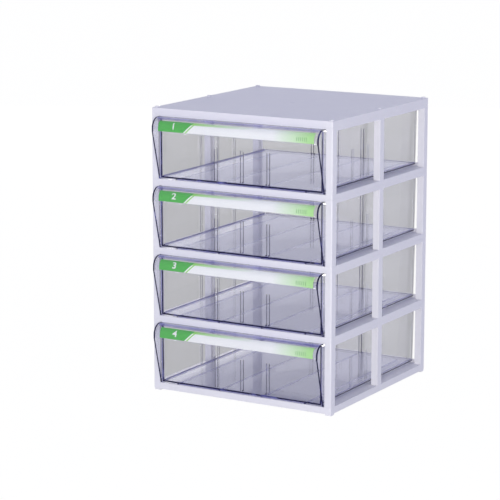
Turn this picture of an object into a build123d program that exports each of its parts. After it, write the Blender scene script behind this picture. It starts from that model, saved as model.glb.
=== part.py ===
"""Four-drawer craft organiser.

A free-standing cabinet of five moulded panels and eight E-shaped side frames, pegged together,
with four clear drawers that slide out to the front. Each drawer is one clear moulding with its
pull hood, and a printed card stands behind the hood. Millimetres, +X right, -Y front, +Z up,
origin at the middle of the footprint on the surface that the feet stand on.
"""
import os
from math import cos, radians, sin, tan

from build123d import *

# ---- casing: overall sizes
tier_count = 4
casing_width = 257.0
casing_depth = 261.0
opening_height = 79.5       # clear height of a bay between two front rails
rail_height = 8.5           # front and rear rail of the base and of each shelf
top_rail_height = 10.0      # front and rear rail of the top
corner_radius = 1.5         # upright corners of the casing

# ---- casing: panels
plate_thickness = 2.4
skirt_wall = 2.2
shelf_edge_height = 6.0     # side edge of a shelf, between the frames under and over it
rib_thickness = 1.6
rib_pitch_across = 80.0     # the two stiffening ribs under a plate that run front to back
rib_pitch_along = 86.0      # the two stiffening ribs under a plate that run side to side
boss_width = 8.0            # square bosses under a plate, over the posts
rear_stop_height = 4.0      # upstand at the back of a shelf that stops the tray
gate_mark_radius = 3.0      # moulding mark in the middle of the top
gate_mark_depth = 0.4

# ---- casing: side frames and what joins them to the panels
frame_thickness = 9.0
post_depth = 11.0
frame_rail_height = 5.0
frame_wall = 2.2            # moulded wall round the hollow of a post
post_solid_end = 5.0        # solid foot and head of a post, past its hollow
peg_width = 5.0             # square pegs on the posts and on the panels
peg_height = 3.0
peg_clearance = 0.2
stud_radius = 2.8           # round studs on the top panel, for a cabinet that stands on this one
stud_height = 1.5
stud_clearance = 0.3        # round such a stud, in the foot that stands on it
foot_height = 2.0           # more than a stud's, so that the middle studs stay clear
foot_width = 8.4

# ---- drawer: front plate and pull hood
side_gap = 1.0              # between the front plate and the posts
sliding_gap = 0.3           # under the runners, and over the front plate
drawer_wall = 2.0
hood_reach = 16.0           # how far the hood stands out of the casing's front
hood_radius = 13.0
hood_drop = 4.5             # upright end of the hood, under its curve
card_lip_reach = 1.2        # lip inside the hood's lower edge, on which the card stands
card_lip_height = 1.0

# ---- drawer: tray
tray_inset = 3.0            # front plate's edge to the tray's side wall, at the rim
tray_rim_drop = 2.9         # front plate's upper edge down to the tray's rim
draft_angle = 1.0
tray_rear_gap = 0.8         # tray to the rear stop
tray_rear_radius = 3.0      # upright corners at the back of the tray
tray_bottom_radius = 2.5
flange_thickness = 1.6
flange_rear_reach = 1.5
runner_height = 1.5
runner_thickness = 1.8
runner_pitch = 61.6
runner_count = 4
divider_count = 3           # divider slots on each wall
slot_width = 2.7            # room for a divider between the two ribs of a slot
slot_rib_thickness = 1.2
slot_rib_reach = 2.5
slot_rib_height = 40.0
pull_out = 215.0            # travel of a drawer until its lugs meet the front rail
lug_length = 10.0
lug_flat = 3.0
lug_overlap = 2.0           # how far a lug stands up behind the front rail

# ---- label card
card_thickness = 0.4
card_gap = 0.15
card_end_margin = 8.0       # card's end to the front plate's side
card_start_angle = 33.0     # from the top of the hood's curve down to the card's upper edge

# ---- worked out
bay_pitch = opening_height + rail_height
base_surface = foot_height + rail_height
frame_height = bay_pitch - shelf_edge_height
top_shelf_surface = base_surface + (tier_count - 1) * bay_pitch
top_surface = top_shelf_surface + opening_height + top_rail_height
top_edge_height = top_surface - top_shelf_surface - frame_height
opening_width = casing_width - 2 * frame_thickness
front_y = (hood_reach - casing_depth) / 2
rear_y = front_y + casing_depth
middle_y = (front_y + rear_y) / 2
post_x = (casing_width - frame_thickness) / 2
post_ys = (front_y + post_depth / 2, middle_y, rear_y - post_depth / 2)
post_places = [(side * post_x, y) for side in (-1, 1) for y in post_ys]
corner_places = [(side * post_x, y) for side in (-1, 1) for y in (post_ys[0], post_ys[-1])]
socket_width = peg_width + 2 * peg_clearance
socket_depth = peg_height + 2 * peg_clearance
window_height = frame_height - frame_rail_height
window_depth = (casing_depth - 3 * post_depth) / 2

plate_width = opening_width - 2 * side_gap
plate_height = opening_height - 2 * sliding_gap
plate_back_y = front_y + drawer_wall
tray_height = plate_height - tray_rim_drop
tray_rim_width = plate_width - 2 * tray_inset
tray_rear_y = rear_y - skirt_wall - tray_rear_gap
tray_body_height = tray_height - runner_height
draft_inset = tray_body_height * tan(radians(draft_angle))
tray_foot_width = tray_rim_width - 2 * draft_inset
tray_foot_rear_y = tray_rear_y - draft_inset
tray_forward_y = front_y - tray_body_height    # tray outline, before the front plate cuts it
inside_width = tray_foot_width - 2 * drawer_wall
inside_length = tray_foot_rear_y - drawer_wall - plate_back_y
slot_rib_shift = (slot_width + slot_rib_thickness) / 2
lug_height = opening_height - sliding_gap + lug_overlap - tray_height


def slot_rib_places(middle, length):
    """Centres of the paired ribs along a wall: slots at the middle and a sixth to each side."""
    spacing = length / 6
    slots = [middle + spacing * (index - (divider_count - 1) / 2) for index in range(divider_count)]
    return [slot + shift for slot in slots for shift in (-slot_rib_shift, slot_rib_shift)]


def panel_shell(surface_z, front_height, edge_height):
    """A plate with its skirt, hollow side edges, stiffening ribs, square bosses and two rails."""
    skirt_z = surface_z - plate_thickness
    channel_wall_x = opening_width / 2 + skirt_wall / 2
    with BuildPart() as shell:
        with BuildSketch(Plane.XY.offset(surface_z)):
            with Locations((0, middle_y)):
                RectangleRounded(casing_width, casing_depth, corner_radius)
        extrude(amount=-plate_thickness)
        with BuildSketch(Plane.XY.offset(skirt_z)):
            with Locations((0, middle_y)):
                RectangleRounded(casing_width, casing_depth, corner_radius)
                Rectangle(casing_width - 2 * skirt_wall, casing_depth - 2 * skirt_wall,
                          mode=Mode.SUBTRACT)
            with Locations((-channel_wall_x, middle_y), (channel_wall_x, middle_y)):
                Rectangle(skirt_wall, casing_depth - skirt_wall)
            with Locations((0, middle_y)):
                with GridLocations(rib_pitch_across, 1, 2, 1):
                    Rectangle(rib_thickness, casing_depth - skirt_wall)
                with GridLocations(1, rib_pitch_along, 1, 2):
                    Rectangle(opening_width + skirt_wall, rib_thickness)
            with Locations(*post_places):
                Rectangle(boss_width, boss_width)
        extrude(amount=-(edge_height - plate_thickness))
        with BuildSketch(Plane.XY.offset(skirt_z)):
            with Locations((0, front_y + skirt_wall / 2), (0, rear_y - skirt_wall / 2)):
                Rectangle(opening_width, skirt_wall)
        extrude(amount=-(front_height - plate_thickness))
    return shell.part


def rear_stop(surface_z):
    """The low upstand across the back of a shelf, between the rear posts."""
    with BuildPart() as stop:
        with BuildSketch(Plane.XY.offset(surface_z)):
            with Locations((0, rear_y - skirt_wall / 2)):
                Rectangle(opening_width, skirt_wall)
        extrude(amount=rear_stop_height)
    return stop.part


def square_pillars(places, surface_z, width, height):
    """A square pillar at each place: feet, the pegs on a panel, or the sockets to cut in it."""
    with BuildPart() as pillars:
        with BuildSketch(Plane.XY.offset(surface_z)):
            with Locations(*places):
                Rectangle(width, width)
        extrude(amount=height)
    return pillars.part


def side_frame(side, shelf_z):
    """An E-shaped side frame that stands on the panel at shelf_z; side is -1 left, 1 right."""
    outer_x = side * casing_width / 2
    with BuildPart() as frame:
        with BuildSketch(Plane.YZ.offset(outer_x)):
            with Locations((middle_y, shelf_z + frame_height / 2)):
                Rectangle(casing_depth, frame_height)
            with Locations((middle_y, shelf_z + window_height / 2)):
                with GridLocations(window_depth + post_depth, 1, 2, 1):
                    Rectangle(window_depth, window_height, mode=Mode.SUBTRACT)
        extrude(amount=-side * frame_thickness)
        outer_edges = frame.faces().sort_by(Axis.X)[-1 if side > 0 else 0].edges().filter_by(Axis.Z)
        corner_edges = outer_edges.group_by(Axis.Y)[0] + outer_edges.group_by(Axis.Y)[-1]
        fillet(corner_edges, corner_radius)
        with BuildSketch(Plane.YZ.offset(outer_x - side * frame_thickness)):
            with Locations(*[(y, shelf_z + frame_height / 2) for y in post_ys]):
                Rectangle(post_depth - 2 * frame_wall, frame_height - 2 * post_solid_end)
        extrude(amount=side * (frame_thickness - frame_wall), mode=Mode.SUBTRACT)
        with BuildSketch(Plane.XY.offset(shelf_z + frame_height)):
            with Locations(*[(side * post_x, y) for y in post_ys]):
                Rectangle(peg_width, peg_width)
        extrude(amount=peg_height)
        with BuildSketch(Plane.XY.offset(shelf_z)):
            with Locations(*[(side * post_x, y) for y in post_ys]):
                Rectangle(socket_width, socket_width)
        extrude(amount=socket_depth, mode=Mode.SUBTRACT)
    return frame.part


def clear_drawer(shelf_z):
    """A drawer in its bay: front plate, pull hood, cheeks and tray in one clear moulding."""
    bottom_z = shelf_z + sliding_gap
    top_z = bottom_z + plate_height
    tray_z = bottom_z + runner_height
    inside_z = tray_z + drawer_wall
    rim_z = bottom_z + tray_height
    hood_end_z = top_z - hood_radius - hood_drop
    hood_start_y = front_y - (hood_reach - hood_radius)
    nose_y = front_y - hood_reach
    flange_rear_y = tray_rear_y + flange_rear_reach
    with BuildPart() as drawer:
        # Tray: drafted walls, rounded at the back and underneath, cut off flat by the front plate.
        with BuildSketch(Plane.XY.offset(tray_z)) as tray_foot:
            with Locations((0, (tray_forward_y + tray_foot_rear_y) / 2)):
                Rectangle(tray_foot_width, tray_foot_rear_y - tray_forward_y)
            fillet(tray_foot.vertices().group_by(Axis.Y)[-1], tray_rear_radius)
        extrude(amount=tray_body_height, taper=-draft_angle)
        split(bisect_by=Plane.XZ.offset(-(front_y + drawer_wall / 2)), keep=Keep.BOTTOM)
        foot_edges = drawer.faces().sort_by(Axis.Z)[0].edges()
        fillet(foot_edges.sort_by(Axis.Y)[1:], tray_bottom_radius)
        with BuildSketch(Plane.XY.offset(rim_z)):
            with Locations((0, (plate_back_y + flange_rear_y) / 2)):
                Rectangle(plate_width, flange_rear_y - plate_back_y)
        extrude(amount=-flange_thickness)
        fillet(drawer.edges().filter_by(Axis.Z).group_by(Axis.Y)[-1], tray_rear_radius)
        with BuildSketch(Plane.XY.offset(inside_z)):
            with Locations((0, plate_back_y + inside_length / 2)):
                Rectangle(inside_width, inside_length)
        extrude(amount=tray_height, taper=-draft_angle, mode=Mode.SUBTRACT)
        # Front plate and pull hood: one profile.
        with BuildSketch(Plane.YZ):
            with BuildLine():
                Polyline((hood_start_y, top_z), (plate_back_y, top_z), (plate_back_y, bottom_z),
                         (front_y, bottom_z), (front_y, top_z - drawer_wall),
                         (hood_start_y, top_z - drawer_wall))
                CenterArc((hood_start_y, top_z - hood_radius), hood_radius - drawer_wall, 90, 90)
                Polyline((nose_y + drawer_wall, top_z - hood_radius),
                         (nose_y + drawer_wall, hood_end_z + card_lip_height),
                         (nose_y + drawer_wall + card_lip_reach, hood_end_z + card_lip_height),
                         (nose_y + drawer_wall + card_lip_reach, hood_end_z),
                         (nose_y, hood_end_z), (nose_y, top_z - hood_radius))
                CenterArc((hood_start_y, top_z - hood_radius), hood_radius, 90, 90)
            make_face()
        extrude(amount=plate_width / 2, both=True)
        # Cheeks: tapered end walls between the hood and the foot of the front plate.
        cheek_inner_x = plate_width / 2 - drawer_wall
        with BuildSketch(Plane.YZ.offset(cheek_inner_x), Plane.YZ.offset(-plate_width / 2)):
            with BuildLine():
                Polyline((hood_start_y, top_z), (front_y, top_z), (front_y, bottom_z),
                         (nose_y, hood_end_z), (nose_y, top_z - hood_radius))
                CenterArc((hood_start_y, top_z - hood_radius), hood_radius, 90, 90)
            make_face()
        extrude(amount=drawer_wall)
        # Runners under the floor.
        with BuildSketch(Plane.XY.offset(bottom_z)):
            runner_length = tray_foot_rear_y - tray_bottom_radius - front_y - drawer_wall / 2
            with Locations((0, front_y + drawer_wall / 2 + runner_length / 2)):
                with GridLocations(runner_pitch, 1, runner_count, 1):
                    Rectangle(runner_thickness, runner_length)
        extrude(amount=runner_height + drawer_wall / 2)
        # Paired ribs that hold loose dividers, on all four walls.
        rib_start = drawer_wall / 2
        rib_height = slot_rib_height + rib_start
        rib_middle_z = inside_z - rib_start + rib_height / 2
        rib_reach = slot_rib_reach + rib_start
        side_rib_x = inside_width / 2 + rib_start - rib_reach / 2
        side_rib_ys = slot_rib_places(plate_back_y + inside_length / 2, inside_length)
        with BuildSketch(*[Plane.XZ.offset(-y) for y in side_rib_ys]) as side_ribs:
            with Locations((-side_rib_x, rib_middle_z), (side_rib_x, rib_middle_z)):
                Rectangle(rib_reach, rib_height)
        extrude(amount=slot_rib_thickness / 2, both=True)
        front_rib_y = plate_back_y - rib_start + rib_reach / 2
        rear_rib_y = plate_back_y + inside_length + rib_start - rib_reach / 2
        with BuildSketch(*[Plane.YZ.offset(x) for x in slot_rib_places(0, inside_width)]):
            with Locations((front_rib_y, rib_middle_z), (rear_rib_y, rib_middle_z)):
                Rectangle(rib_reach, rib_height)
        extrude(amount=slot_rib_thickness / 2, both=True)
        # Stop lugs on the flange: square to the front, ramped to the rear.
        lug_front_y = front_y + skirt_wall + pull_out + sliding_gap
        lug_x = tray_rim_width / 2
        with BuildSketch(Plane.YZ.offset(lug_x), Plane.YZ.offset(-lug_x)):
            with BuildLine():
                Polyline((lug_front_y, rim_z - flange_thickness / 2), (lug_front_y, rim_z + lug_height),
                         (lug_front_y + lug_flat, rim_z + lug_height),
                         (lug_front_y + lug_length, rim_z),
                         (lug_front_y + lug_length, rim_z - flange_thickness / 2), close=True)
            make_face()
        extrude(amount=drawer_wall / 2, both=True)
    return drawer.part


def label_card(shelf_z):
    """The curved card that stands on the lip inside the hood."""
    top_z = shelf_z + sliding_gap + plate_height
    lip_z = top_z - hood_radius - hood_drop + card_lip_height
    centre_y = front_y - (hood_reach - hood_radius)
    centre_z = top_z - hood_radius
    outer_radius = hood_radius - drawer_wall - card_gap
    inner_radius = outer_radius - card_thickness
    sweep_angle = 90 - card_start_angle
    end_direction = (-sin(radians(card_start_angle)), cos(radians(card_start_angle)))
    ends = [(centre_y + radius * end_direction[0], centre_z + radius * end_direction[1])
            for radius in (outer_radius, inner_radius)]
    with BuildPart() as card:
        with BuildSketch(Plane.YZ):
            with BuildLine():
                CenterArc((centre_y, centre_z), outer_radius, 90 + card_start_angle, sweep_angle)
                Polyline((centre_y - outer_radius, centre_z), (centre_y - outer_radius, lip_z),
                         (centre_y - inner_radius, lip_z), (centre_y - inner_radius, centre_z))
                CenterArc((centre_y, centre_z), inner_radius, 90 + card_start_angle, sweep_angle)
                Line(*ends)
            make_face()
        extrude(amount=plate_width / 2 - card_end_margin, both=True)
    return card.part


def keep_piece(part, name):
    """Label a finished piece and write it to its own file."""
    part.label = name
    export_step(part, f"parts/{name}.step")


os.makedirs("parts", exist_ok=True)

# ---- base panel: corner feet bored for the studs of a cabinet below, pegs for the first frames
base_shell = panel_shell(base_surface, rail_height, rail_height)
base_stop = rear_stop(base_surface)
base_pegs = square_pillars(post_places, base_surface, peg_width, peg_height)
base_feet = square_pillars(corner_places, 0, foot_width, foot_height + plate_thickness)
with BuildPart() as base_panel:
    add(base_shell)
    add(base_stop)
    add(base_pegs)
    add(base_feet)
    with BuildSketch(Plane.XY):
        with Locations(*corner_places):
            Circle(stud_radius + stud_clearance)
    extrude(amount=foot_height, mode=Mode.SUBTRACT)
keep_piece(base_panel.part, "base_panel")

# ---- shelves: one moulding, used three times
for tier in range(1, tier_count):
    shelf_surface = base_surface + tier * bay_pitch
    shelf_shell = panel_shell(shelf_surface, rail_height, shelf_edge_height)
    shelf_stop = rear_stop(shelf_surface)
    shelf_pegs = square_pillars(post_places, shelf_surface, peg_width, peg_height)
    shelf_sockets = square_pillars(post_places, shelf_surface - shelf_edge_height, socket_width,
                                   socket_depth)
    with BuildPart() as shelf:
        add(shelf_shell)
        add(shelf_stop)
        add(shelf_pegs)
        add(shelf_sockets, mode=Mode.SUBTRACT)
    keep_piece(shelf.part, f"shelf_{tier}")

# ---- top panel: plain, with a low stud over each post
top_shell = panel_shell(top_surface, top_rail_height, top_edge_height)
top_sockets = square_pillars(post_places, top_surface - top_edge_height, socket_width, socket_depth)
with BuildPart() as top_panel:
    add(top_shell)
    add(top_sockets, mode=Mode.SUBTRACT)
    with BuildSketch(Plane.XY.offset(top_surface)):
        with Locations(*post_places):
            Circle(stud_radius)
    extrude(amount=stud_height)
    with BuildSketch(Plane.XY.offset(top_surface)):
        with Locations((0, middle_y)):
            Circle(gate_mark_radius)
    extrude(amount=-gate_mark_depth, mode=Mode.SUBTRACT)
keep_piece(top_panel.part, "top_panel")

# ---- what repeats in each bay
for tier in range(tier_count):
    shelf_surface = base_surface + tier * bay_pitch
    keep_piece(side_frame(-1, shelf_surface), f"left_frame_{tier + 1}")
    keep_piece(side_frame(1, shelf_surface), f"right_frame_{tier + 1}")
    keep_piece(clear_drawer(shelf_surface), f"drawer_{tier + 1}")
    keep_piece(label_card(shelf_surface), f"label_card_{tier + 1}")
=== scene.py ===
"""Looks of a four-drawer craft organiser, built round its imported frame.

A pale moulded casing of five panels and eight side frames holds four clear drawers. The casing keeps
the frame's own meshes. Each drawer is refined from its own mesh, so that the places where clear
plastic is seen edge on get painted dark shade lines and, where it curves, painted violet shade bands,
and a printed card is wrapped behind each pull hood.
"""
from __future__ import annotations

import logging
import math
from dataclasses import dataclass
from enum import IntEnum
from typing import Any

import bmesh
import bpy
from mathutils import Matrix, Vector

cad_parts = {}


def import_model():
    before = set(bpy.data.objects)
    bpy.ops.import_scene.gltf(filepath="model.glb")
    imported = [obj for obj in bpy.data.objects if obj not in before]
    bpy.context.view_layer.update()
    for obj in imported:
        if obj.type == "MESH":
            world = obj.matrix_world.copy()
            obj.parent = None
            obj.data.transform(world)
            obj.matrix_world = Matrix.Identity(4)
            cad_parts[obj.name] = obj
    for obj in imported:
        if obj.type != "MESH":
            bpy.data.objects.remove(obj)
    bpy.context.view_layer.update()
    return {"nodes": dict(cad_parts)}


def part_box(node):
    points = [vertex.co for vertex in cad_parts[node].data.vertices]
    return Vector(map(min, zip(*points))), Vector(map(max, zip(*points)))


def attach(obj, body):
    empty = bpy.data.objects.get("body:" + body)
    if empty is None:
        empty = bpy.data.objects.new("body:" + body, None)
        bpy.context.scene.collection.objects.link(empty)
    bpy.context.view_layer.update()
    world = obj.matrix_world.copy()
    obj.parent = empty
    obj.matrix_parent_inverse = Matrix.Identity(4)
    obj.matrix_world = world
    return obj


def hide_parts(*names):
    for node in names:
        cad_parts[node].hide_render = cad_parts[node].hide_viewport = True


LOG = logging.getLogger("craft_organiser")
MM = 0.001
TIERS = 4
JOIN_GAP = 0.005 * MM            # vertices closer than this are one
FLAT_ANGLE = math.radians(0.5)   # faces that turn less than this are one flat face
BEVEL_ANGLE = math.radians(40)   # edges sharper than this are rounded
BEVEL_SEGMENTS = 2
PRINT_LIFT = 0.05 * MM           # how far print stands off its card

# Sockets of a colour Mix node.
MIX_FACTOR, MIX_FIRST, MIX_SECOND, MIX_RESULT = 0, 6, 7, 2

Colour = tuple[float, float, float]


def srgb(red: float, green: float, blue: float) -> Colour:
    """Turn a colour as a screen shows it, 0 to 255, into the linear values of a shader.

    Args:
        red: red part, 0 to 255.
        green: green part, 0 to 255.
        blue: blue part, 0 to 255.

    Returns:
        The linear red, green and blue.
    """
    def linear(part: float) -> float:
        """Undo the screen's curve for one part."""
        share = part / 255
        return share / 12.92 if share <= 0.04045 else ((share + 0.055) / 1.055) ** 2.4
    return linear(red), linear(green), linear(blue)


# ---------------------------------------------------------------- node graphs
class Wire:
    """An output socket that takes part in arithmetic, each operation adding its Math node."""

    def __init__(self, graph: "Graph", socket: bpy.types.NodeSocket) -> None:
        """Hold an output socket of a graph."""
        self.graph = graph
        self.socket = socket

    def _math(self, operation: str, first: Any, second: Any = None, clamp: bool = False) -> "Wire":
        """Add a Math node and return its result."""
        inputs = {0: first} if second is None else {0: first, 1: second}
        return self.graph.out("ShaderNodeMath", {"operation": operation, "use_clamp": clamp}, inputs)

    def __add__(self, other: Any) -> "Wire":
        """This plus other."""
        return self._math("ADD", self, other)

    def __radd__(self, other: Any) -> "Wire":
        """Other plus this."""
        return self._math("ADD", other, self)

    def __sub__(self, other: Any) -> "Wire":
        """This minus other."""
        return self._math("SUBTRACT", self, other)

    def __rsub__(self, other: Any) -> "Wire":
        """Other minus this."""
        return self._math("SUBTRACT", other, self)

    def __mul__(self, other: Any) -> "Wire":
        """This times other."""
        return self._math("MULTIPLY", self, other)

    def __truediv__(self, other: Any) -> "Wire":
        """This divided by other."""
        return self._math("DIVIDE", self, other)

    def at_least(self, other: Any) -> "Wire":
        """The larger of this and other."""
        return self._math("MAXIMUM", self, other)

    def at_most(self, other: Any) -> "Wire":
        """The smaller of this and other."""
        return self._math("MINIMUM", self, other)

    def above(self, limit: float, softness: float) -> "Wire":
        """A mask that rises from 0 to 1 over softness, centred on limit."""
        return self._math("ADD", (self - limit) / softness, 0.5, clamp=True)

    def cosine(self) -> "Wire":
        """Cosine of this angle."""
        return self._math("COSINE", self)

    def sine(self) -> "Wire":
        """Sine of this angle."""
        return self._math("SINE", self)


class Graph:
    """A node tree, of a material, a world or a Geometry Nodes group, filled through one method."""

    def __init__(self, tree: bpy.types.NodeTree) -> None:
        """Hold the tree that the nodes go into."""
        self.tree = tree

    def node(self, kind: str, settings: dict[str, Any] | None = None,
             inputs: dict[Any, Any] | None = None) -> bpy.types.Node:
        """Add a node.

        Args:
            kind: the node's type name.
            settings: its properties, set before its sockets.
            inputs: socket name or number to a value, a Wire or an output socket.

        Returns:
            The new node.
        """
        node = self.tree.nodes.new(kind)
        for name, value in (settings or {}).items():
            setattr(node, name, value)
        for key, value in (inputs or {}).items():
            if isinstance(value, Wire):
                value = value.socket
            if isinstance(value, bpy.types.NodeSocket):
                self.tree.links.new(value, node.inputs[key])
            else:
                node.inputs[key].default_value = value
        return node

    def out(self, kind: str, settings: dict[str, Any] | None = None,
            inputs: dict[Any, Any] | None = None, output: Any = 0) -> Wire:
        """Add a node as node() does and return one of its outputs as a Wire."""
        return Wire(self, self.node(kind, settings, inputs).outputs[output])

    def axes(self, vector: Any) -> tuple[Wire, Wire, Wire]:
        """Split a vector into three wires."""
        split = self.node("ShaderNodeSeparateXYZ", None, {0: vector})
        return Wire(self, split.outputs[0]), Wire(self, split.outputs[1]), Wire(self, split.outputs[2])

    def place(self) -> Wire:
        """Object coordinates, in metres."""
        return self.out("ShaderNodeTexCoord", None, None, "Object")

    def noise(self, vector: Wire, scale: float, detail: float = 2.0) -> Wire:
        """Fractal noise, 0 to 1, with scale cells to the metre."""
        return self.out("ShaderNodeTexNoise", None, {"Vector": vector, "Scale": scale, "Detail": detail}, 0)

    def blend(self, factor: Any, low: Any, high: Any) -> Wire:
        """Mix two colours.

        Args:
            factor: share of the second colour, a number or a Wire.
            low: the first colour, three numbers or a Wire.
            high: the second colour, three numbers or a Wire.

        Returns:
            The mixed colour.
        """
        node = self.node("ShaderNodeMix", {"data_type": "RGBA"})
        for index, value in ((MIX_FACTOR, factor), (MIX_FIRST, low), (MIX_SECOND, high)):
            if isinstance(value, Wire):
                self.tree.links.new(value.socket, node.inputs[index])
            else:
                node.inputs[index].default_value = (*value, 1.0) if isinstance(value, tuple) else value
        return Wire(self, node.outputs[MIX_RESULT])


class Finish:
    """What every finish shares: a material with one Principled shader."""

    name: str

    def material(self) -> bpy.types.Material:
        """Build the material once.

        Returns:
            The material, also when it is there already.
        """
        known = bpy.data.materials.get(self.name)
        if known:
            return known
        material = bpy.data.materials.new(self.name)
        material.use_nodes = True
        material.node_tree.nodes.clear()
        graph = Graph(material.node_tree)
        shader = graph.node("ShaderNodeBsdfPrincipled")
        self.paint(graph, shader)
        graph.node("ShaderNodeOutputMaterial", None, {"Surface": self.surface(graph, shader)})
        return material

    def paint(self, graph: Graph, shader: bpy.types.Node) -> None:
        """Set the shader's sockets; each finish has its own."""
        raise NotImplementedError

    def surface(self, graph: Graph, shader: bpy.types.Node) -> bpy.types.NodeSocket:
        """What the material shows: its one shader, unless a finish adds to it."""
        return shader.outputs[0]


def link(graph: Graph, shader: bpy.types.Node, sockets: dict[str, Any]) -> None:
    """Set or link a shader's sockets.

    Args:
        graph: the shader's graph.
        shader: the node.
        sockets: socket name to a number, colour or Wire.
    """
    for name, value in sockets.items():
        if isinstance(value, Wire):
            graph.tree.links.new(value.socket, shader.inputs[name])
        elif isinstance(value, tuple) and len(value) == 3:
            shader.inputs[name].default_value = (*value, 1.0)
        else:
            shader.inputs[name].default_value = value


@dataclass(frozen=True)
class CasingPlastic(Finish):
    """Opaque moulded plastic, white with a faint lavender cast and a soft satin skin."""

    name: str = "casing_satin"
    colour: Colour = srgb(235, 235, 240)
    cast: Colour = srgb(229, 229, 237)
    roughness: float = 0.38
    roughness_spread: float = 0.16
    refraction: float = 1.5
    cloud_cells: float = 9.0      # cells of noise to the metre, here and below
    patch_cells: float = 60.0
    grain_cells: float = 2600.0
    flow_cells: float = 35.0
    grain_weight: float = 0.6
    flow_weight: float = 1.4
    grain_height: float = 0.02 * MM
    grain_strength: float = 0.35

    def paint(self, graph: Graph, shader: bpy.types.Node) -> None:
        """Cloudy tint, uneven gloss and a fine moulded grain.

        Args:
            graph: the material's graph.
            shader: its Principled shader.
        """
        place = graph.place()
        cloud = graph.noise(place, self.cloud_cells)
        patch = graph.noise(place, self.patch_cells)
        grain = graph.noise(place, self.grain_cells, 1.0)
        flow = graph.noise(place, self.flow_cells)
        bump = graph.out("ShaderNodeBump", None, {
            "Strength": self.grain_strength, "Distance": self.grain_height,
            "Height": grain * self.grain_weight + flow * self.flow_weight}, "Normal")
        link(graph, shader, {
            "Base Color": graph.blend(cloud, self.colour, self.cast),
            "Roughness": self.roughness + (patch - 0.5) * self.roughness_spread,
            "IOR": self.refraction,
            "Normal": bump})


@dataclass(frozen=True)
class ClearPlastic(Finish):
    """Clear moulded plastic as thin walls: nearly no colour of its own, and a mirror at a glancing angle."""

    name: str = "clear_wall"
    colour: Colour = srgb(196, 197, 216)
    sheen: Colour = srgb(236, 236, 250)
    body: float = 0.018
    body_spread: float = 0.016
    body_roughness: float = 0.3
    normal_reflection: float = 0.04
    roughness: float = 0.05
    roughness_spread: float = 0.04
    flow_cells: float = 22.0
    flow_height: float = 0.25 * MM
    flow_strength: float = 0.3

    def _waves(self, graph: Graph) -> tuple[Wire, Wire]:
        """Flow marks of the moulding.

        Args:
            graph: the material's graph.

        Returns:
            The marks, 0 to 1, and the bump that they make.
        """
        flow = graph.noise(graph.place(), self.flow_cells)
        return flow, graph.out("ShaderNodeBump", None, {
            "Strength": self.flow_strength, "Distance": self.flow_height, "Height": flow}, "Normal")

    def paint(self, graph: Graph, shader: bpy.types.Node) -> None:
        """A trace of tint, a little uneven along the flow marks.

        Args:
            graph: the material's graph.
            shader: its Principled shader.
        """
        flow, bump = self._waves(graph)
        link(graph, shader, {
            "Base Color": self.colour,
            "Roughness": self.body_roughness,
            "Specular IOR Level": 0.0,
            "Alpha": self.body + (flow - 0.5) * self.body_spread,
            "Normal": bump})

    def surface(self, graph: Graph, shader: bpy.types.Node) -> bpy.types.NodeSocket:
        """The tint under a polished skin, which reflects more at a glancing angle by the usual fifth power.

        Args:
            graph: the material's graph.
            shader: the shader that holds the tint.

        Returns:
            The two shaders mixed.
        """
        flow, bump = self._waves(graph)
        skin = graph.node("ShaderNodeBsdfPrincipled", None, {
            "Base Color": (*self.sheen, 1.0), "Metallic": 1.0,
            "Roughness": self.roughness + (flow - 0.5) * self.roughness_spread, "Normal": bump})
        flat = graph.out("ShaderNodeLayerWeight", None, {"Blend": 0.5}, "Facing")
        square = flat * flat
        reflection = self.normal_reflection + square * square * flat * (1 - self.normal_reflection)
        mixed = graph.node("ShaderNodeMixShader", None, {
            0: reflection, 1: shader.outputs[0], 2: skin.outputs[0]})
        return mixed.outputs[0]


@dataclass(frozen=True)
class ClearEdgeShade(Finish):
    """Clear plastic seen along a wall: painted dark navy shade for the dark look of a wall seen edge on, with
    painted glints.
    """

    name: str = "clear_edge_painted_shade"
    # colour is painted dark shade; glint is a painted highlight laid on it in stretches
    colour: Colour = srgb(16, 13, 66)
    glint: Colour = srgb(84, 86, 160)
    alpha: float = 0.95
    alpha_drop: float = 0.2
    glint_streak_cells: float = 45.0
    glint_above: float = 0.66
    glint_softness: float = 0.12
    roughness: float = 0.2
    roughness_spread: float = 0.1
    specular: float = 0.12

    def paint(self, graph: Graph, shader: bpy.types.Node) -> None:
        """Painted dark navy shade with painted glints in paler stretches along its length.

        Args:
            graph: the material's graph.
            shader: its Principled shader.
        """
        glint_streak = graph.noise(graph.place(), self.glint_streak_cells)
        mask = glint_streak.above(self.glint_above, self.glint_softness)
        link(graph, shader, {
            "Base Color": graph.blend(mask, self.colour, self.glint),
            "Roughness": self.roughness + glint_streak * self.roughness_spread,
            "Specular IOR Level": self.specular,
            "Alpha": self.alpha - mask * self.alpha_drop})


@dataclass(frozen=True)
class ClearBandShade(Finish):
    """Clear plastic where it curves or doubles up: a painted violet shade band between the painted dark
    lines.
    """

    name: str = "clear_band_painted_shade"
    # colour and pale are painted shade of clear plastic seen at a slant, paler in random stretches
    colour: Colour = srgb(122, 120, 200)
    pale: Colour = srgb(176, 176, 236)
    alpha: float = 0.6
    alpha_drop: float = 0.15
    drift_cells: float = 18.0
    pale_above: float = 0.5
    pale_softness: float = 0.35
    roughness: float = 0.1
    roughness_spread: float = 0.08
    specular: float = 0.3

    def paint(self, graph: Graph, shader: bpy.types.Node) -> None:
        """Painted violet shade that drifts paler along the piece.

        Args:
            graph: the material's graph.
            shader: its Principled shader.
        """
        drift = graph.noise(graph.place(), self.drift_cells)
        mask = drift.above(self.pale_above, self.pale_softness)
        link(graph, shader, {
            "Base Color": graph.blend(mask, self.colour, self.pale),
            "Roughness": self.roughness + drift * self.roughness_spread,
            "Specular IOR Level": self.specular,
            "Alpha": self.alpha - mask * self.alpha_drop})


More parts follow.
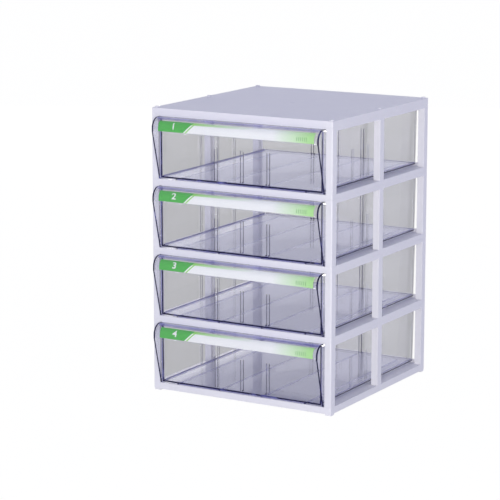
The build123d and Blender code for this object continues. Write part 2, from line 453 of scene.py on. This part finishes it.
@dataclass(frozen=True)
class LabelPrint(Finish):
    """Printed card: a green block at the left, a tapering stripe, and a pale green right end.

    Places along the card are shares of its length from the left, places up it shares of its height.
    """

    name: str = "card_print"
    half_length: float = 0.1105
    low: float = 0.0
    height: float = 0.0126
    paper: Colour = srgb(250, 253, 250)
    green: Colour = srgb(48, 180, 36)
    light_green: Colour = srgb(146, 222, 92)
    pale_green: Colour = srgb(176, 234, 144)
    lean: float = 0.06
    block_end: float = 0.225
    block_softness: float = 0.004
    keyline_start: float = 0.235
    keyline_end: float = 0.245
    keyline_softness: float = 0.003
    stripe_low: float = 0.80
    stripe_softness: float = 0.06
    fade_start: float = 0.2
    fade_rate: float = 2.4
    end_middle: float = 0.86
    end_softness: float = 0.24
    fibre_cells: float = 900.0
    fibre_height: float = 0.02 * MM
    fibre_strength: float = 0.2
    roughness: float = 0.42
    roughness_spread: float = 0.1

    def paint(self, graph: Graph, shader: bpy.types.Node) -> None:
        """Straight-edged fields of colour, placed along the card and up its height.

        Args:
            graph: the material's graph.
            shader: its Principled shader.
        """
        along, _, up = graph.axes(graph.place())
        share = (along + self.half_length) / (2 * self.half_length)
        rise = (up - self.low) / self.height
        slant = share + (1 - rise) * self.lean
        block = 1 - slant.above(self.block_end, self.block_softness)
        fade = (1 - (share - self.fade_start) * self.fade_rate).at_least(0.0)
        stripe = rise.above(self.stripe_low, self.stripe_softness) * fade.at_most(1.0)
        keyline = (slant.above(self.keyline_start, self.keyline_softness)
                   * (1 - slant.above(self.keyline_end, self.keyline_softness)))
        end = share.above(self.end_middle, self.end_softness)
        fibre = graph.noise(graph.place(), self.fibre_cells, 3.0)
        colour = graph.blend(end, self.paper, self.pale_green)
        colour = graph.blend(stripe, colour, self.light_green)
        colour = graph.blend(keyline, colour, self.light_green)
        colour = graph.blend(block, colour, self.green)
        bump = graph.out("ShaderNodeBump", None, {
            "Strength": self.fibre_strength, "Distance": self.fibre_height, "Height": fibre}, "Normal")
        link(graph, shader, {
            "Base Color": colour,
            "Roughness": self.roughness + fibre * self.roughness_spread,
            "Normal": bump})


@dataclass(frozen=True)
class Ink(Finish):
    """A flat printed ink that stands on the card."""

    name: str = "label_ink"
    colour: Colour = srgb(248, 252, 246)
    thin_share: float = 0.93
    lay_cells: float = 700.0
    roughness: float = 0.4
    roughness_spread: float = 0.1

    def paint(self, graph: Graph, shader: bpy.types.Node) -> None:
        """Ink with a slightly uneven lay.

        Args:
            graph: the material's graph.
            shader: its Principled shader.
        """
        lay = graph.noise(graph.place(), self.lay_cells)
        thin = tuple(self.thin_share * part for part in self.colour)
        link(graph, shader, {
            "Base Color": graph.blend(lay, self.colour, thin),
            "Roughness": self.roughness + lay * self.roughness_spread})


# ---------------------------------------------------------------- mesh helpers
def new_object(name: str, mesh: bpy.types.Mesh) -> bpy.types.Object:
    """Put a mesh in the scene, at the origin.

    Args:
        name: the object's name.
        mesh: its mesh.

    Returns:
        The new object.
    """
    piece = bpy.data.objects.new(name, mesh)
    bpy.context.scene.collection.objects.link(piece)
    return piece


def bake(piece: bpy.types.Object) -> None:
    """Turn a piece with Geometry Nodes into a plain mesh.

    Args:
        piece: the object, whose modifiers are replaced by their result.
    """
    shot = piece.evaluated_get(bpy.context.evaluated_depsgraph_get())
    mesh = bpy.data.meshes.new_from_object(shot)
    piece.modifiers.clear()
    piece.data = mesh
    mesh.name = piece.name


def soften(piece: bpy.types.Object, width: float) -> None:
    """Round a moulding's edges with live modifiers.

    Args:
        piece: the moulding.
        width: width of the bevel, in metres.
    """
    bevel = piece.modifiers.new("edge_round", "BEVEL")
    bevel.width = width
    bevel.segments = BEVEL_SEGMENTS
    bevel.limit_method = "ANGLE"
    bevel.angle_limit = BEVEL_ANGLE


# ---------------------------------------------------------------- casing
@dataclass
class Casing:
    """The pale casing: five panels and the side frames that carry them."""

    nodes: dict[str, bpy.types.Object]
    edge_round: float = 0.4 * MM

    def names(self) -> list[str]:
        """Name the casing's nodes.

        Returns:
            The names of the panels and of the side frames.
        """
        panels = ["base_panel", "top_panel"] + [f"shelf_{tier}" for tier in range(1, TIERS)]
        frames = [f"{side}_frame_{tier}" for side in ("left", "right") for tier in range(1, TIERS + 1)]
        return panels + frames

    def dress(self) -> None:
        """Give each moulding its finish and softened edges."""
        material = CasingPlastic().material()
        for name in self.names():
            moulding = self.nodes[name]
            moulding.data.materials.clear()
            moulding.data.materials.append(material)
            weld = moulding.modifiers.new("join_faces", "WELD")
            weld.merge_threshold = JOIN_GAP
            flat = moulding.modifiers.new("flat_faces", "DECIMATE")
            flat.decimate_type = "DISSOLVE"
            flat.angle_limit = FLAT_ANGLE
            soften(moulding, self.edge_round)
            LOG.info("dressed %s", name)


# ---------------------------------------------------------------- drawers
class Skin(IntEnum):
    """Material slots of a clear drawer: clear, painted dark edge shade and painted violet band shade."""

    CLEAR = 0
    EDGE = 1
    PAINTED_BAND_SHADE = 2


# How far a face's normal leans towards an axis, as the size of its part along that axis.
TILTED = 0.12
UPRIGHT = 0.5
STEEP = 0.6
SQUARE_ON = 0.9
NEARLY_LEVEL = 0.97


@dataclass
class Drawer:
    """One clear drawer with its label card, numeral and index marks."""

    tier: int
    nodes: dict[str, bpy.types.Object]
    wall: float = 2.0 * MM
    tray_inset: float = 3.0 * MM
    runner_height: float = 1.5 * MM
    runner_half: float = 1.0 * MM
    rim: float = 2.4 * MM
    cove: float = 1.5 * MM
    runner_pitch: float = 61.6 * MM
    hood_radius: float = 13.0 * MM
    plate_height: float = 78.9 * MM
    corner_radius: float = 2.5 * MM
    card_start: float = math.radians(33)
    card_thickness: float = 0.4 * MM
    edge_round: float = 0.3 * MM
    near: float = 0.1 * MM
    edge_allowance: float = 1.08     # widest edge of a wall, in wall thicknesses
    cut_tolerance: float = 0.0001 * MM
    crease: float = math.radians(35)
    mark_count: int = 6
    mark_pitch: float = 2.6 * MM
    mark_width: float = 0.7 * MM
    mark_height: float = 0.34        # share of the card's height
    mark_middle: float = 0.33        # share of the card's height
    mark_row: int = 9                # pitches from the first bar to the card's right end
    numeral_size: float = 11.2 * MM
    numeral_stretch: float = 1.25
    numeral_weight: float = 0.2 * MM
    numeral_place: float = 0.10      # share of the card's length
    numeral_middle: float = 0.5      # share of the card's height

    def __post_init__(self) -> None:
        """Read the places that the frame gives."""
        self.node_name = f"drawer_{self.tier}"
        self.card_name = f"label_card_{self.tier}"
        self.body = f"drawer_unit_{self.tier}"
        low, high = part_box(self.node_name)
        self.half_width = high.x
        self.bottom = low.z
        self.top = low.z + self.plate_height
        self.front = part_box("base_panel")[0].y
        self.card_low, self.card_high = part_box(self.card_name)

    # ---- the clear moulding
    def shell(self) -> bpy.types.Object:
        """Refine the moulding: joined faces, cut lines where a finish or painted shade ends, and per face the
        clear finish, painted dark edge shade or painted violet band shade.

        Returns:
            The clear drawer.
        """
        mesh = self.nodes[self.node_name].data.copy()
        mesh.name = f"clear_tray_{self.tier}"
        mesh.materials.clear()
        for finish in (ClearPlastic(), ClearEdgeShade(), ClearBandShade()):
            mesh.materials.append(finish.material())
        sheet = bmesh.new()
        sheet.from_mesh(mesh)
        bmesh.ops.remove_doubles(sheet, verts=sheet.verts, dist=JOIN_GAP)
        bmesh.ops.dissolve_limit(sheet, angle_limit=FLAT_ANGLE, verts=sheet.verts, edges=sheet.edges)
        self._score(sheet)
        for face in sheet.faces:
            face.material_index = self._skin(face)
            face.smooth = True
        sheet.to_mesh(mesh)
        sheet.free()
        mesh.set_sharp_from_angle(angle=self.crease)
        piece = new_object(mesh.name, mesh)
        soften(piece, self.edge_round)
        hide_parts(self.node_name)
        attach(piece, self.body)
        return piece

    def _seams(self) -> tuple[list[float], list[float]]:
        """Where the tray's walls and floor meet the front plate.

        Returns:
            Distances from the middle of a long wall's outside and inside; Z of the floor's underside and top.
        """
        outer = self.half_width - self.tray_inset
        underside = self.bottom + self.runner_height
        return [outer, outer - self.wall], [underside, underside + self.wall]

    def _runners(self) -> tuple[float, float]:
        """X of the two runners on one side of the middle."""
        return self.runner_pitch / 2, self.runner_pitch * 1.5

    def _score(self, sheet: bmesh.types.BMesh) -> None:
        """Cut faces where a finish or painted shade ends: tray's outline, runners, hood's ends and walls'
        foot.

        Args:
            sheet: the moulding's mesh.
        """
        across, up = Vector((1, 0, 0)), Vector((0, 0, 1))
        columns, rows = self._seams()
        columns = columns + [self.half_width - self.rim]
        columns += [x + shift for x in self._runners() for shift in (-self.runner_half, self.runner_half)]
        cuts = [(side * x * across, across, self._before_tray) for x in columns for side in (-1, 1)]
        cuts += [(z * up, up, self._on_front) for z in rows]
        cuts += [((rows[1] + self.cove) * up, up, self._in_wall)]
        for point, normal, region in cuts:
            faces = [face for face in sheet.faces if region(face)]
            geometry = set(faces)
            for face in faces:
                geometry.update(face.edges)
                geometry.update(face.verts)
            bmesh.ops.bisect_plane(sheet, geom=list(geometry), dist=self.cut_tolerance,
                                   plane_co=point, plane_no=normal)

    def _in_wall(self, face: bmesh.types.BMFace) -> bool:
        """Whether a face lies on the inside of one of the tray's long walls.

        Args:
            face: a face of the moulding.

        Returns:
            True on such a face.
        """
        centre = face.calc_center_median()
        faces_in = face.normal.x * centre.x < 0 and abs(face.normal.x) > SQUARE_ON
        return faces_in and centre.y > self.front + self.wall

    def _before_tray(self, face: bmesh.types.BMFace) -> bool:
        """Whether a face belongs to the front plate or its hood."""
        return face.calc_center_median().y < self.front + self.wall - 2 * self.near

    def _on_front(self, face: bmesh.types.BMFace) -> bool:
        """Whether a face lies on the front of the front plate."""
        return face.normal.y < -SQUARE_ON and abs(face.calc_center_median().y - self.front) < 2 * self.near

    def _skin(self, face: bmesh.types.BMFace) -> Skin:
        """Choose the finish of a face by where it lies on the moulding.

        Args:
            face: a face of the joined mesh.

        Returns:
            The material slot.
        """
        centre = face.calc_center_median()
        side = abs(centre.x)
        ahead = self.front - centre.y
        on_plate = ahead > -self.wall
        at_runner = any(abs(side - x) < self.runner_half for x in self._runners())
        # Runner ends get the painted dark edge shade.
        if at_runner and on_plate and centre.z - self.bottom < self.runner_height:
            return Skin.EDGE
        if self._on_front(face):
            return self._plate_skin(side, centre.z)
        if ahead > self.near:
            return self._hood_skin(face)
        # The plate's side edges get the painted dark edge shade.
        if on_plate and side > self.half_width - self.near:
            return Skin.EDGE
        return self._tray_skin(face)

    def _plate_skin(self, side: float, level: float) -> Skin:
        """Finish on the front of the plate: painted dark shade lines where the tray's walls and floor would
        show through it edge on, and painted violet shade outside the tray.

        Args:
            side: distance from the middle.
            level: Z of the face.

        Returns:
            The material slot.
        """
        columns, rows = self._seams()
        if columns[1] < side < columns[0] or rows[0] < level < rows[1]:
            return Skin.EDGE if level > rows[0] and side < columns[0] else Skin.CLEAR
        return Skin.PAINTED_BAND_SHADE if side > columns[0] else Skin.CLEAR

    def _hood_skin(self, face: bmesh.types.BMFace) -> Skin:
        """Finish on the hood: painted dark shade at its two ends, painted violet shade on its crown.

        Args:
            face: a face ahead of the plate.

        Returns:
            The material slot.
        """
        centre = face.calc_center_median()
        if abs(centre.x) > self.half_width - self.rim and abs(face.normal.x) < SQUARE_ON:
            return Skin.EDGE
        on_crown = abs(face.normal.z) > SQUARE_ON and centre.z > self.card_high.z
        return Skin.PAINTED_BAND_SHADE if on_crown else Skin.CLEAR

    def _tray_skin(self, face: bmesh.types.BMFace) -> Skin:
        """Finish on the tray: painted dark and violet shade round its foot, painted dark shade on the edges
        of its walls and ribs.

        Args:
            face: a face behind the front plate.

        Returns:
            The material slot.
        """
        centre = face.calc_center_median()
        across, along, level = (abs(part) for part in face.normal)
        height = centre.z - self.bottom
        columns, rows = self._seams()
        if TILTED < level < NEARLY_LEVEL and height < self.runner_height + self.corner_radius:
            if across < along:
                return Skin.CLEAR
            return Skin.EDGE if level < STEEP else Skin.PAINTED_BAND_SHADE
        if height < self.runner_height and level < UPRIGHT:
            return Skin.PAINTED_BAND_SHADE
        at_foot = centre.z < rows[1] + self.cove and abs(centre.x) > columns[1] - 2 * self.wall
        if at_foot and self._in_wall(face):
            return Skin.PAINTED_BAND_SHADE
        turns_back = face.normal.y > TILTED and across > TILTED
        return Skin.EDGE if not turns_back and self._narrow(face) else Skin.CLEAR

    def _narrow(self, face: bmesh.types.BMFace) -> bool:
        """Whether a face is the thin edge of a wall or rib."""
        longest = max(edge.calc_length() for edge in face.edges)
        return longest > 0 and face.calc_area() / longest < self.wall * self.edge_allowance

    # ---- the card behind the hood
    def _card_frame(self) -> tuple[float, float, float, Vector]:
        """The card's path behind the hood: an upright part, then a curve.

        Returns:
            Radius of the card's front, lengths of its upright part and its curve, and the curve's centre.
        """
        centre_z = self.top - self.hood_radius
        reach = (self.card_high.z - centre_z) / math.cos(self.card_start)
        drop = centre_z - self.card_low.z
        curve = reach * (math.pi / 2 - self.card_start)
        centre = Vector((0, self.card_low.y + reach, centre_z))
        return reach, drop, curve, centre

    def card(self) -> bpy.types.Object:
        """Wrap a flat printed sheet onto the hood's curve.

        Returns:
            The card.
        """
        radius, drop, curve, centre = self._card_frame()
        length = self.card_high.x - self.card_low.x
        tree = wrap_tree("wrapped_sheet", sheet_source)
        piece = new_object(f"printed_card_{self.tier}", bpy.data.meshes.new("card_source"))
        finish = LabelPrint(name=f"card_print_{self.tier}", half_length=length / 2, low=self.card_low.z,
                            height=self.card_high.z - self.card_low.z)
        run_tree(piece, tree, {"Length": length, "Height": drop + curve, "Radius": radius, "Drop": drop,
                               "Centre": centre, "Finish": finish.material()})
        thick = piece.modifiers.new("card_thickness", "SOLIDIFY")
        thick.thickness = self.card_thickness
        thick.offset = -1.0
        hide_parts(self.card_name)
        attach(piece, self.body)
        return piece

    def marks(self) -> bpy.types.Object:
        """Print a row of short index bars at the card's right end.

        Returns:
            The bars, as one piece.
        """
        radius, drop, curve, centre = self._card_frame()
        tree = wrap_tree("index_row", bar_source)
        piece = new_object(f"index_marks_{self.tier}", bpy.data.meshes.new("mark_source"))
        run_tree(piece, tree, {
            "Count": self.mark_count, "Pitch": self.mark_pitch, "Width": self.mark_width,
            "Start": self.card_high.x - self.mark_row * self.mark_pitch,
            "Height": self.mark_height * (drop + curve), "Base": self.mark_middle * (drop + curve),
            "Radius": radius, "Drop": drop, "Centre": centre,
            "Finish": Ink("index_ink", srgb(92, 176, 84)).material()})
        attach(piece, self.body)
        return piece

    def numeral(self) -> bpy.types.Object:
        """Print the drawer's plain number on the green block; the top drawer has 1.

        Returns:
            The numeral.
        """
        radius, drop, curve, centre = self._card_frame()
        text = bpy.data.curves.new(f"numeral_text_{self.tier}", "FONT")
        text.body = str(TIERS + 1 - self.tier)
        text.size = self.numeral_size
        text.align_x = "CENTER"
        text.align_y = "CENTER"
        text.offset = self.numeral_weight
        source = bpy.data.objects.new("numeral_source", text)
        bpy.context.scene.collection.objects.link(source)
        mesh = bpy.data.meshes.new_from_object(
            source.evaluated_get(bpy.context.evaluated_depsgraph_get()))
        bpy.data.objects.remove(source)
        length = self.card_high.x - self.card_low.x
        across = self.card_low.x + self.numeral_place * length
        shift = Vector((across, self.numeral_middle * (drop + curve), 0))
        for vertex in mesh.vertices:
            vertex.co = Vector((vertex.co.x * self.numeral_stretch, vertex.co.y, 0)) + shift
        piece = new_object(f"numeral_{self.tier}", mesh)
        run_tree(piece, wrap_tree("wrapped_print", print_source), {
            "Radius": radius, "Drop": drop, "Centre": centre,
            "Finish": Ink("numeral_ink", srgb(250, 253, 248)).material()})
        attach(piece, self.body)
        return piece

    def build(self) -> None:
        """Build everything of this drawer."""
        for piece in (self.shell(), self.card(), self.marks(), self.numeral()):
            LOG.info("built %s", piece.name)


# ---------------------------------------------------------------- Geometry Nodes
# Vertices of the flat pieces, enough to bend smoothly.
SHEET_COLUMNS, SHEET_ROWS = 45, 15
BAR_COLUMNS, BAR_ROWS = 2, 6
PRINT_CUTS = 2


def group_input(tree: bpy.types.NodeTree, name: str, kind: str) -> None:
    """Add a named input to a node group."""
    tree.interface.new_socket(name=name, in_out="INPUT", socket_type=kind)


def sheet_source(graph: Graph, entry: bpy.types.Node) -> Wire:
    """A flat sheet: X along the hood, Y up the card from its lower edge.

    Args:
        graph: the tree's graph.
        entry: its Group Input node.

    Returns:
        The flat geometry.
    """
    group_input(graph.tree, "Length", "NodeSocketFloat")
    group_input(graph.tree, "Height", "NodeSocketFloat")
    grid = graph.node("GeometryNodeMeshGrid", None, {
        "Size X": entry.outputs["Length"], "Size Y": entry.outputs["Height"],
        "Vertices X": SHEET_COLUMNS, "Vertices Y": SHEET_ROWS})
    raised = graph.out("ShaderNodeCombineXYZ", None, {"Y": Wire(graph, entry.outputs["Height"]) * 0.5})
    return graph.out("GeometryNodeTransform", None, {"Geometry": grid.outputs[0], "Translation": raised})


def bar_source(graph: Graph, entry: bpy.types.Node) -> Wire:
    """A row of flat bars at an even pitch.

    Args:
        graph: the tree's graph.
        entry: its Group Input node.

    Returns:
        The flat geometry.
    """
    for name in ("Pitch", "Width", "Height", "Start", "Base"):
        group_input(graph.tree, name, "NodeSocketFloat")
    group_input(graph.tree, "Count", "NodeSocketInt")
    first = graph.out("ShaderNodeCombineXYZ", None, {
        "X": entry.outputs["Start"], "Y": Wire(graph, entry.outputs["Base"]), "Z": PRINT_LIFT})
    step = graph.out("ShaderNodeCombineXYZ", None, {"X": entry.outputs["Pitch"]})
    line = graph.out("GeometryNodeMeshLine", {"mode": "OFFSET"}, {
        "Count": entry.outputs["Count"], "Start Location": first, "Offset": step})
    bar = graph.node("GeometryNodeMeshGrid", None, {
        "Size X": entry.outputs["Width"], "Size Y": entry.outputs["Height"],
        "Vertices X": BAR_COLUMNS, "Vertices Y": BAR_ROWS})
    return graph.out("GeometryNodeInstanceOnPoints", None, {"Points": line, "Instance": bar.outputs[0]})


def print_source(graph: Graph, entry: bpy.types.Node) -> Wire:
    """The object's own flat mesh, cut fine enough to bend and lifted off the card.

    Args:
        graph: the tree's graph.
        entry: its Group Input node.

    Returns:
        The flat geometry.
    """
    fine = graph.out("GeometryNodeSubdivideMesh", None, {
        "Mesh": entry.outputs["Geometry"], "Level": PRINT_CUTS})
    return graph.out("GeometryNodeTransform", None, {"Geometry": fine, "Translation": (0, 0, PRINT_LIFT)})


def wrap_tree(name: str, source: Any) -> bpy.types.NodeTree:
    """A node group that bends a flat piece onto the inside of a pull hood.

    Args:
        name: the group's name.
        source: a function that adds its own inputs and returns the flat geometry.

    Returns:
        The node group.
    """
    known = bpy.data.node_groups.get(name)
    if known:
        return known
    tree = bpy.data.node_groups.new(name, "GeometryNodeTree")
    group_input(tree, "Geometry", "NodeSocketGeometry")
    group_input(tree, "Radius", "NodeSocketFloat")
    group_input(tree, "Drop", "NodeSocketFloat")
    group_input(tree, "Centre", "NodeSocketVector")
    group_input(tree, "Finish", "NodeSocketMaterial")
    tree.interface.new_socket(name="Geometry", in_out="OUTPUT", socket_type="NodeSocketGeometry")
    graph = Graph(tree)
    entry = graph.node("NodeGroupInput")
    flat = graph.out("GeometryNodeRealizeInstances", None, {0: source(graph, entry)})
    along, height, lift = graph.axes(graph.out("GeometryNodeInputPosition"))
    drop = Wire(graph, entry.outputs["Drop"])
    radius = lift + Wire(graph, entry.outputs["Radius"])
    angle = (height - drop).at_least(0.0) / Wire(graph, entry.outputs["Radius"])
    bent = graph.out("ShaderNodeCombineXYZ", None, {
        "X": along, "Y": radius * angle.cosine() * -1.0,
        "Z": height.at_most(drop) - drop + radius * angle.sine()})
    placed = graph.out("ShaderNodeVectorMath", {"operation": "ADD"}, {0: bent, 1: entry.outputs["Centre"]})
    moved = graph.out("GeometryNodeSetPosition", None, {"Geometry": flat, "Position": placed})
    dressed = graph.out("GeometryNodeSetMaterial", None, {
        "Geometry": moved, "Material": entry.outputs["Finish"]})
    graph.node("NodeGroupOutput", None, {0: dressed})
    return tree


def run_tree(piece: bpy.types.Object, tree: bpy.types.NodeTree, values: dict[str, Any]) -> None:
    """Run a node group on a piece and keep the result as its mesh.

    Args:
        piece: the object.
        tree: the node group.
        values: input name to value.
    """
    modifier = piece.modifiers.new(tree.name, "NODES")
    modifier.node_group = tree
    for item in tree.interface.items_tree:
        if item.in_out == "INPUT" and item.name in values:
            modifier[item.identifier] = values[item.name]
    bake(piece)


# ---------------------------------------------------------------- studio
@dataclass(frozen=True)
class Softbox:
    """A rectangular lamp that faces the middle of the organiser; sizes in metres, power in watts."""

    name: str
    place: tuple[float, float, float]
    width: float
    height: float
    power: float


@dataclass
class Studio:
    """Floor, light and camera."""

    camera_place: Vector = Vector((1328.8 * MM, -2359.4 * MM, 713.9 * MM))
    camera_turn: float = math.radians(30.445)
    camera_dip: float = math.radians(11.277)
    lens: float = 154.5
    sensor: float = 36.0
    view_depth: float = 50.0
    white: Colour = (1.0, 1.0, 1.0)
    grey: Colour = srgb(182, 182, 180)
    gleam: Colour = srgb(238, 238, 244)
    ambient: Colour = srgb(168, 170, 197)
    lamp_tint: Colour = (1.0, 0.97, 0.86)
    aim: Vector = Vector((0, 0, 0.18))
    floor_size: float = 12.0
    floor_shade: float = 0.9
    floor_glow: float = 1.016     # lifts the paper to full white over its faint shadow
    glow_share: float = 0.97
    softboxes: tuple[Softbox, ...] = (
        Softbox("front_softbox", (1.2, -2.4, 0.4), 1.6, 0.8, 39),
        Softbox("side_softbox", (2.4, 0.3, 0.6), 1.2, 0.8, 2),
        Softbox("rear_softbox", (-1.3, 2.4, 0.25), 2.0, 0.4, 20))
    clear_layers: int = 48
    indirect_clamp: float = 3.0

    def _backdrop(self, graph: Graph) -> tuple[Wire, Wire]:
        """Colour of the paper backdrop and whether a ray sees it.

        Args:
            graph: the graph of the world or the floor.

        Returns:
            White, its duller image in gloss, or grey through clear plastic, and a mask of 1 on such rays.
        """
        path = graph.node("ShaderNodeLightPath")
        behind_clear = Wire(graph, path.outputs["Transparent Depth"]).above(0.5, 0.2)
        direct = Wire(graph, path.outputs["Is Camera Ray"])
        mirrored = Wire(graph, path.outputs["Is Glossy Ray"]).at_least(path.outputs["Is Transmission Ray"])
        dull = graph.blend(mirrored, self.grey, self.gleam)
        return graph.blend(direct * (1 - behind_clear), dull, self.white), direct.at_least(mirrored)

    def world(self) -> None:
        """Even light from all round, behind a white backdrop."""
        world = bpy.data.worlds.new("studio")
        bpy.context.scene.world = world
        world.use_nodes = True
        world.node_tree.nodes.clear()
        graph = Graph(world.node_tree)
        colour, seen = self._backdrop(graph)
        light = graph.node("ShaderNodeBackground", None, {"Color": (*self.ambient, 1.0), "Strength": 1.0})
        paper = graph.node("ShaderNodeBackground", None, {"Color": colour, "Strength": 1.0})
        mixed = graph.out("ShaderNodeMixShader", None, {0: seen, 1: light.outputs[0], 2: paper.outputs[0]})
        graph.node("ShaderNodeOutputWorld", None, {"Surface": mixed})

    def floor(self) -> None:
        """A pale floor that keeps a faint shadow."""
        sheet = bmesh.new()
        bmesh.ops.create_grid(sheet, x_segments=1, y_segments=1, size=self.floor_size / 2)
        mesh = bpy.data.meshes.new("floor")
        sheet.to_mesh(mesh)
        sheet.free()
        material = bpy.data.materials.new("floor_paper")
        material.use_nodes = True
        material.node_tree.nodes.clear()
        graph = Graph(material.node_tree)
        colour, seen = self._backdrop(graph)
        paper = graph.node("ShaderNodeEmission", None, {"Color": colour, "Strength": self.floor_glow})
        lit = graph.node("ShaderNodeBsdfDiffuse", None, {"Color": (*[self.floor_shade] * 3, 1.0)})
        mixed = graph.out("ShaderNodeMixShader", None, {
            0: seen * self.glow_share, 1: lit.outputs[0], 2: paper.outputs[0]})
        graph.node("ShaderNodeOutputMaterial", None, {"Surface": mixed})
        mesh.materials.append(material)
        new_object("floor", mesh)

    def lamp(self, softbox: Softbox) -> None:
        """Add a soft lamp.

        Args:
            softbox: its name, place, size and power.
        """
        data = bpy.data.lights.new(softbox.name, "AREA")
        data.shape = "RECTANGLE"
        data.size, data.size_y = softbox.width, softbox.height
        data.energy = softbox.power
        data.color = self.lamp_tint
        lamp = bpy.data.objects.new(softbox.name, data)
        lamp.location = Vector(softbox.place)
        lamp.rotation_euler = (self.aim - lamp.location).to_track_quat("-Z", "Y").to_euler()
        bpy.context.scene.collection.objects.link(lamp)

    def camera(self) -> None:
        """The photograph's viewpoint, for a square frame."""
        data = bpy.data.cameras.new("camera")
        data.lens = self.lens
        data.sensor_width = self.sensor
        data.clip_end = self.view_depth
        camera = bpy.data.objects.new("camera", data)
        camera.location = self.camera_place
        camera.rotation_euler = (math.pi / 2 - self.camera_dip, 0, self.camera_turn)
        bpy.context.scene.collection.objects.link(camera)
        bpy.context.scene.camera = camera

    def build(self) -> None:
        """Set up the whole studio."""
        self.world()
        self.floor()
        for softbox in self.softboxes:
            self.lamp(softbox)
        self.camera()
        scene = bpy.context.scene
        scene.view_settings.view_transform = "Standard"
        scene.cycles.transparent_max_bounces = self.clear_layers
        scene.cycles.sample_clamp_indirect = self.indirect_clamp


def main() -> None:
    """Build the organiser round its frame."""
    logging.basicConfig(level=logging.INFO, format="%(message)s")
    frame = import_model()
    Casing(frame["nodes"]).dress()
    for tier in range(1, TIERS + 1):
        Drawer(tier, frame["nodes"]).build()
    Studio().build()


if __name__ == "__main__":
    main()
